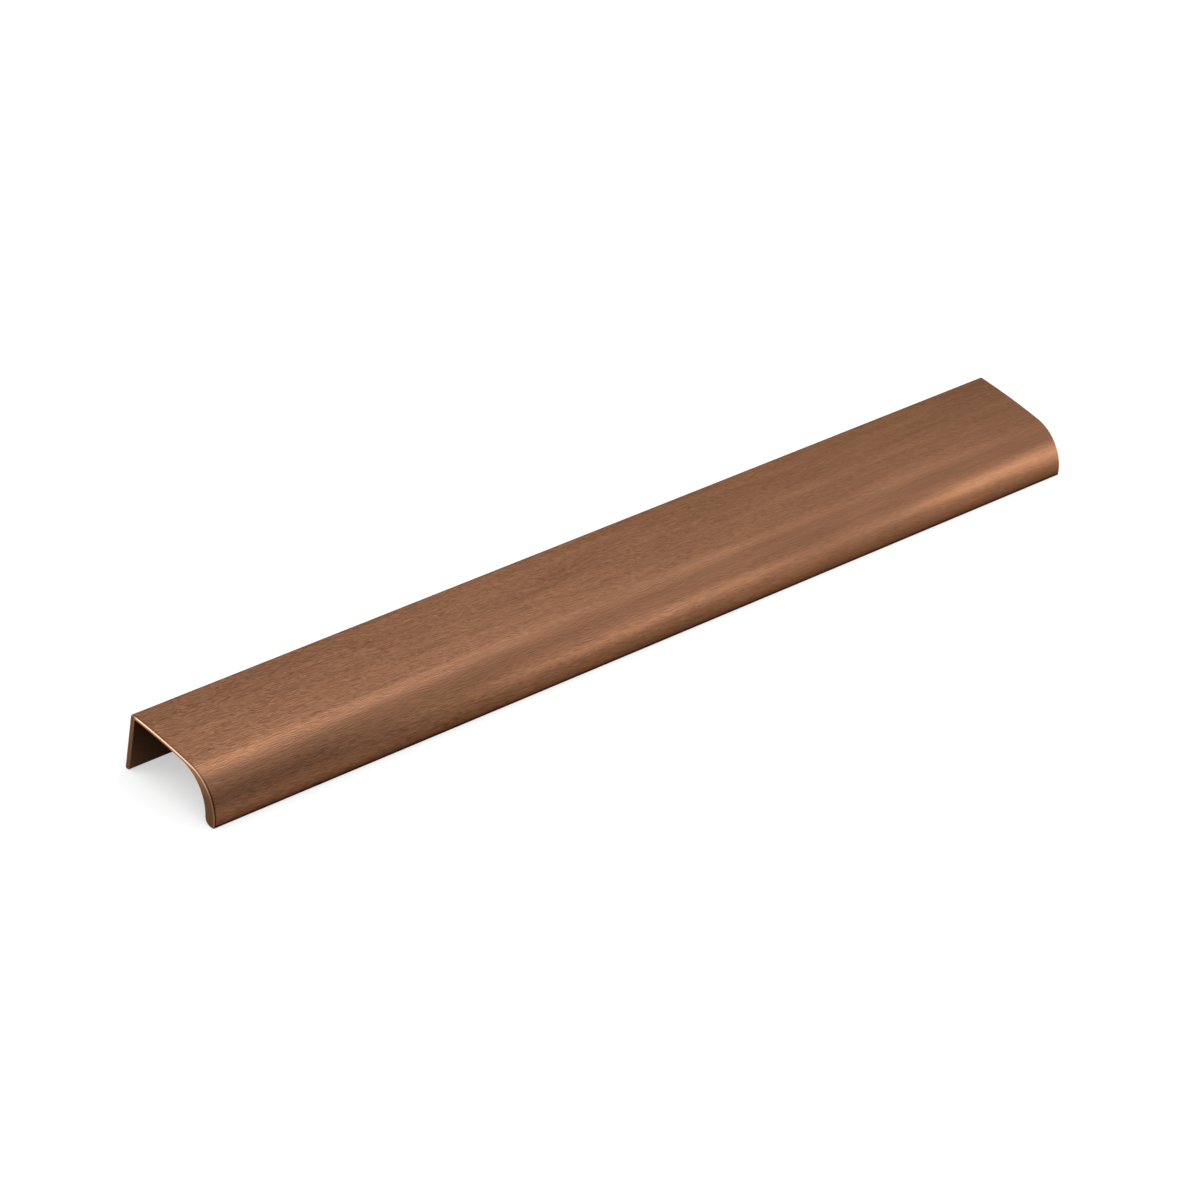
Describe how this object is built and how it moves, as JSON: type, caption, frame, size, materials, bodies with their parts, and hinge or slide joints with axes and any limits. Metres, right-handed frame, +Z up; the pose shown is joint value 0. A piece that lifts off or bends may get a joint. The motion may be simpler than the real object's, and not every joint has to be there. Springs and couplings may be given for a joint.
{
  "type": "lip pull handle",
  "caption": "Straight lip pull handle of J-section profile in brushed copper finish: a flange screws behind a door's edge, and a thickened lip turns down in front for the fingers.",
  "frame": {"origin": "middle of the footprint, on the level that the feet of the flange and the lip stand on", "axes": "+X along the handle, +Y from the lip to the flange, +Z up through the crowned top plate"},
  "size_m": [0.35, 0.0362, 0.0174],
  "materials": {
    "brushed_copper": "aluminium, brushed along its length and finished in a dark antique copper tone"
  },
  "bodies": {
    "root": {"lip_pull": "brushed_copper"}
  },
  "joints": []
}
